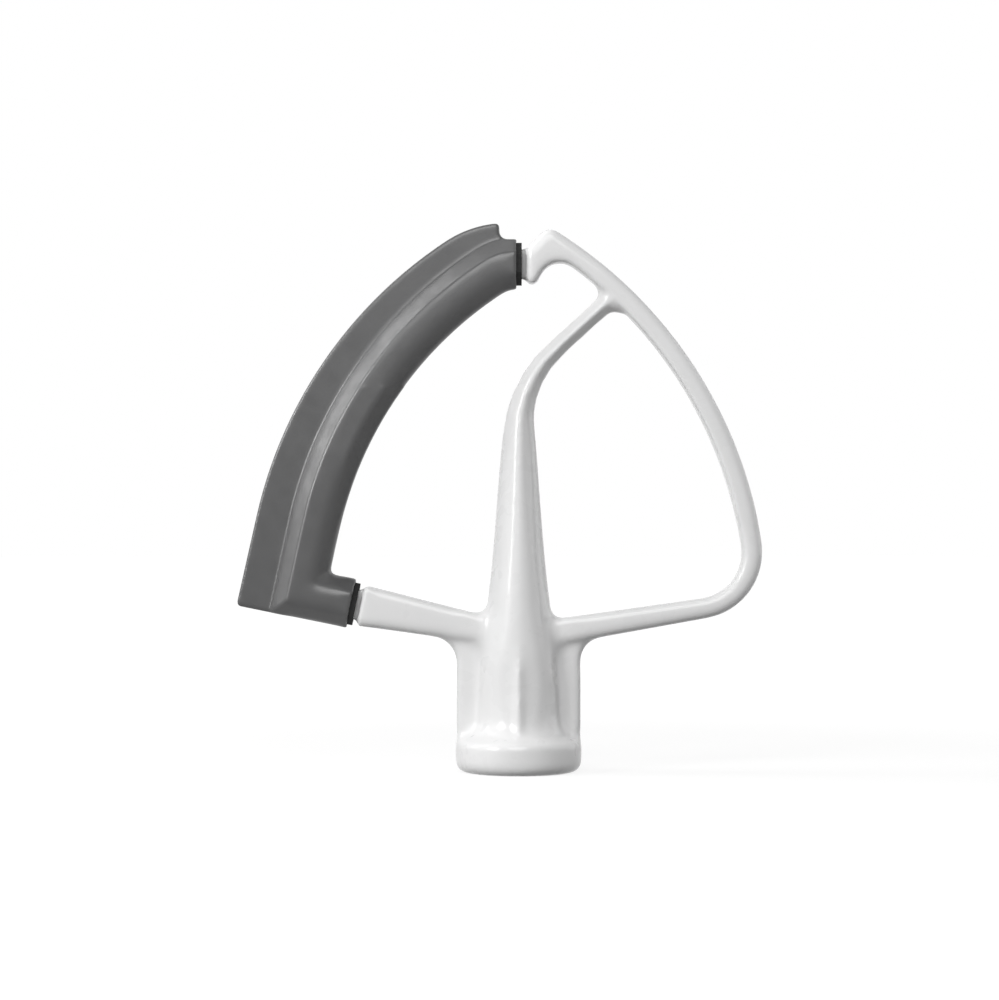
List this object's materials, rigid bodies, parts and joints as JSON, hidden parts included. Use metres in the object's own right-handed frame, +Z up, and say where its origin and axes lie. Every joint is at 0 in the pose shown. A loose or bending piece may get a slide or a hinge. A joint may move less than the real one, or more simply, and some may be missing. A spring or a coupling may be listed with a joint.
{
  "type": "stand mixer flat beater",
  "caption": "Flat beater for a stand mixer: coated open frame on a socketed drive hub, with a soft scraping blade along one side.",
  "frame": {"origin": "centre of the drive socket's mouth, on the plane of the hub's rim", "axes": "+Z up the drive axis from the hub to the tip, +X away from the scraping edge in the plane of the frame, -Y towards the viewer"},
  "size_m": [0.1365, 0.0326, 0.1426],
  "materials": {
    "white_coat": "smooth gloss coat",
    "black_plastic": "matt moulded",
    "grey_silicone": "satin moulded"
  },
  "bodies": {
    "root": {"beater_frame": "white_coat", "edge_carrier": "black_plastic", "scraper_edge": "grey_silicone"}
  },
  "joints": []
}
